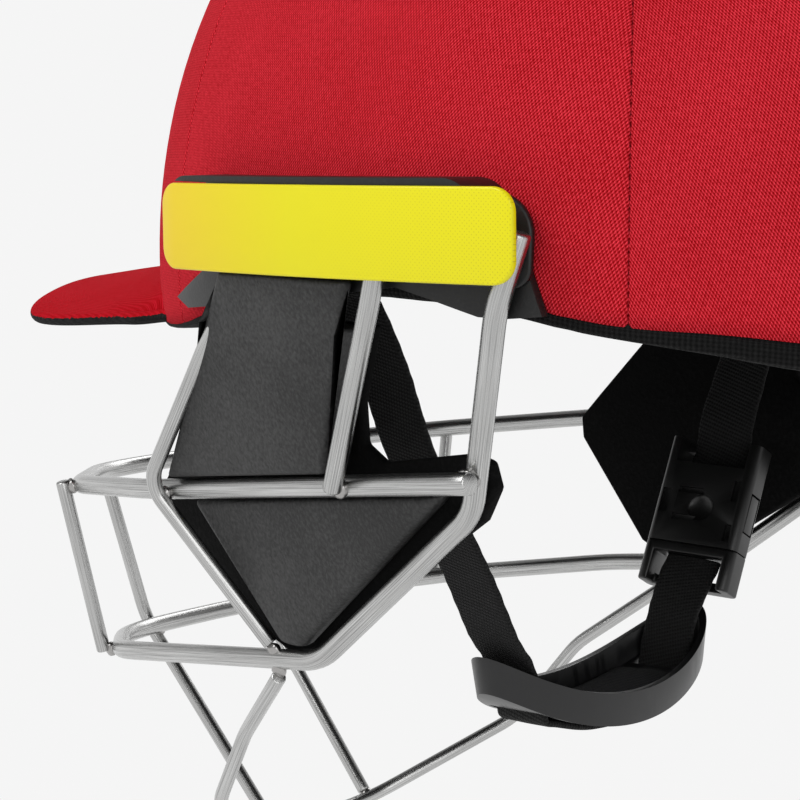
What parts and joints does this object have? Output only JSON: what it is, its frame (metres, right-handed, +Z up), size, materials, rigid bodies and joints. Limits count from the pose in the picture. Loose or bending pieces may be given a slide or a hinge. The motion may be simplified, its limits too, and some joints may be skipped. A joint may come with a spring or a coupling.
{
  "type": "cricket helmet",
  "caption": "Cloth-covered cricket helmet with a peak, a welded wire face guard, foam cheek pads and a swinging chin strap with a cup and a side-release buckle.",
  "frame": {"origin": "middle of the head opening: the centre plane, the line through the ears, the level of the rim beside them", "axes": "+Z up, -Y where the wearer looks, +X the wearer's left"},
  "size_m": [0.2214, 0.3297, 0.3104],
  "materials": {
    "cover_cloth": "woven twill",
    "black_knit": "knitted",
    "shell_plastic": "moulded",
    "liner_foam": "moulded bead foam",
    "comfort_foam": "cloth over soft foam",
    "peak_board": "moulded sheet",
    "yellow_plate": "satin, bare",
    "black_moulding": "moulded",
    "guard_wire": "drawn wire, polished",
    "fixing_steel": "plated",
    "nut_metal": "turned",
    "cheek_foam": "skinned closed-cell foam",
    "webbing": "woven webbing",
    "cup_plastic": "moulded",
    "buckle_plastic": "moulded"
  },
  "bodies": {
    "helmet": {"brow_pad": "comfort_foam", "centre_bar_left": "guard_wire", "centre_bar_right": "guard_wire", "cheek_pad_lower_block_left": "cheek_foam", "cheek_pad_lower_block_right": "cheek_foam", "cheek_pad_sheet_left": "cheek_foam", "cheek_pad_sheet_right": "cheek_foam", "cheek_pad_upper_block_left": "cheek_foam", "cheek_pad_upper_block_right": "cheek_foam", "chin_bar": "guard_wire", "cover_panel_front_left": "cover_cloth", "cover_panel_front_right": "cover_cloth", "cover_panel_left": "cover_cloth", "cover_panel_rear_left": "cover_cloth", "cover_panel_rear_right": "cover_cloth", "cover_panel_right": "cover_cloth", "crown_button": "cover_cloth", "crown_pad": "comfort_foam", "front_wire_left": "guard_wire", "front_wire_right": "guard_wire", "guard_screws_left": "fixing_steel", "guard_screws_right": "fixing_steel", "guard_tab_left": "fixing_steel", "guard_tab_right": "fixing_steel", "impact_liner": "liner_foam", "lower_loop_and_rear_posts": "guard_wire", "middle_post_left": "guard_wire", "middle_post_right": "guard_wire", "mount_moulding_left": "black_moulding", "mount_moulding_right": "black_moulding", "outer_shell": "shell_plastic", "peak_board": "peak_board", "peak_cover": "cover_cloth", "peak_lining": "black_knit", "rear_barrel_nut_left": "nut_metal", "rear_barrel_nut_right": "nut_metal", "rear_pad": "comfort_foam", "rim_binding": "black_knit", "short_outer_bar_left": "guard_wire", "short_outer_bar_right": "guard_wire", "side_pad_left": "comfort_foam", "side_pad_right": "comfort_foam", "side_plate_left": "yellow_plate", "side_plate_right": "yellow_plate", "strap_pivot_nut_left": "nut_metal", "strap_pivot_nut_right": "nut_metal", "upper_loop": "guard_wire"},
    "chin_harness": {"chin_web": "webbing", "buckle_web": "webbing", "chin_cup": "cup_plastic", "chin_cup_pad": "comfort_foam", "buckle_socket": "buckle_plastic", "buckle_plug": "buckle_plastic"},
    "prong_rear": {"buckle_prong_rear": "buckle_plastic"},
    "prong_front": {"buckle_prong_front": "buckle_plastic"}
  },
  "joints": [
    {"name": "chin_harness_swing", "type": "hinge", "parent": "helmet", "child": "chin_harness", "pos_m": [0, -0.02, 0.017], "axis": [1, 0, 0], "range_deg": [-50, 40]},
    {"name": "prong_rear_press", "type": "slide", "parent": "chin_harness", "child": "prong_rear", "axis": [0.1403, -0.99, 0.0175], "range_m": [0, 0.002], "stiffness_N_per_m": 500},
    {"name": "prong_front_press", "type": "slide", "parent": "chin_harness", "child": "prong_front", "axis": [-0.1403, 0.99, -0.0175], "range_m": [0, 0.002], "stiffness_N_per_m": 500}
  ],
  "couplings": [
    {"joint": "prong_front_press", "follows": "prong_rear_press", "ratio": 1}
  ]
}
